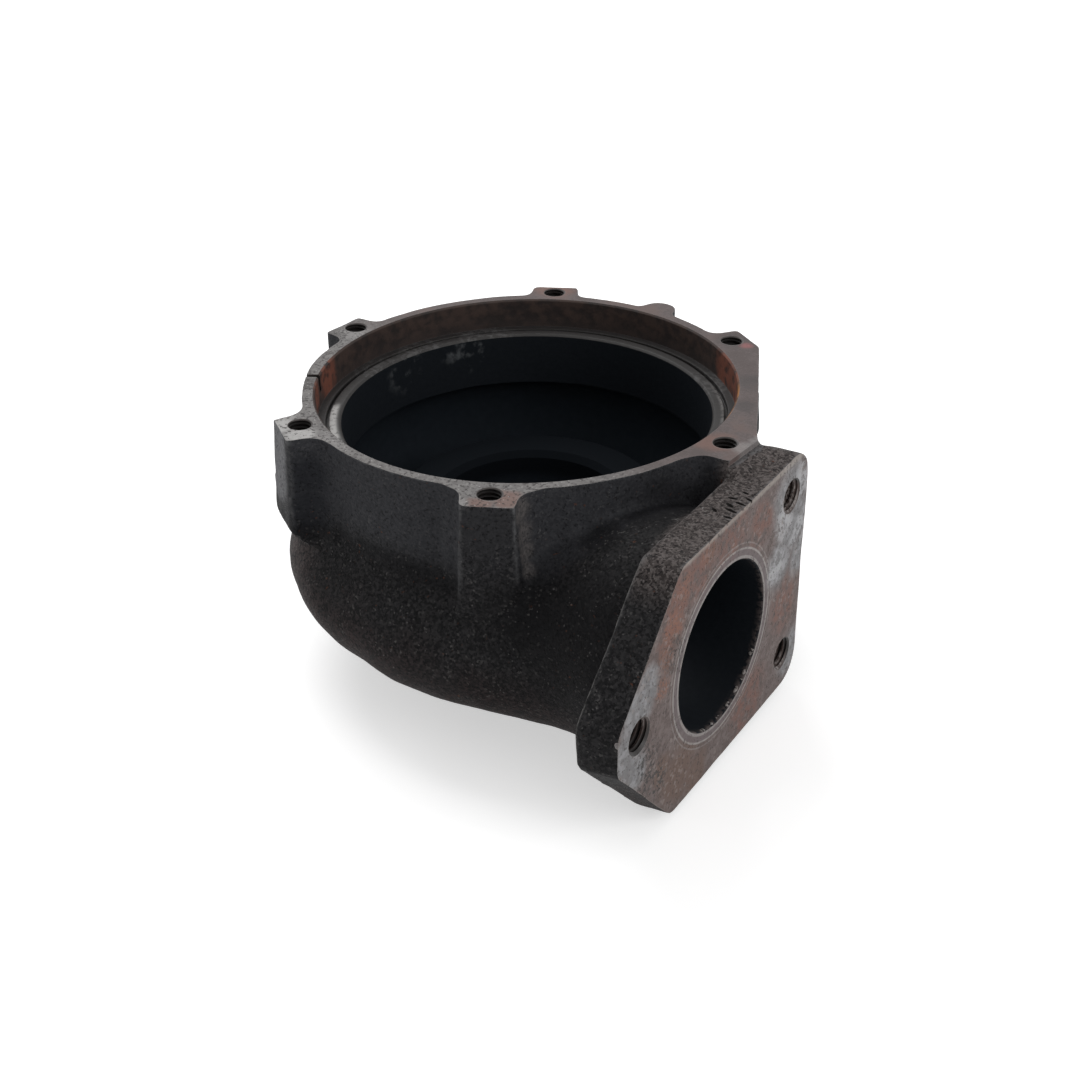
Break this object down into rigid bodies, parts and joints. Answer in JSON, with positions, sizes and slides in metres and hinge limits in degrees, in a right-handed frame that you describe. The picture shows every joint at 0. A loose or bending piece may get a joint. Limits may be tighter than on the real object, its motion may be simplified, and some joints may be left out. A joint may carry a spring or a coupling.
{
  "type": "turbocharger turbine housing",
  "caption": "Turbine housing casting: a scroll fed by a side inlet flange, with an open round chamber, a tapped lug rim on top and the gas outlet in its floor.",
  "frame": {"origin": "centre of the outlet's mouth, on the outlet face", "axes": "+Z along the turbine axis from the outlet to the rim face, +X square out of the inlet flange, the inlet bore on the -Y side of the axis"},
  "size_m": [0.1273, 0.1307, 0.065],
  "materials": {
    "casting": "rough cast, machined on the rim, the register and the inlet face, with light rust"
  },
  "bodies": {
    "root": {"turbine_housing": "casting"}
  },
  "joints": []
}
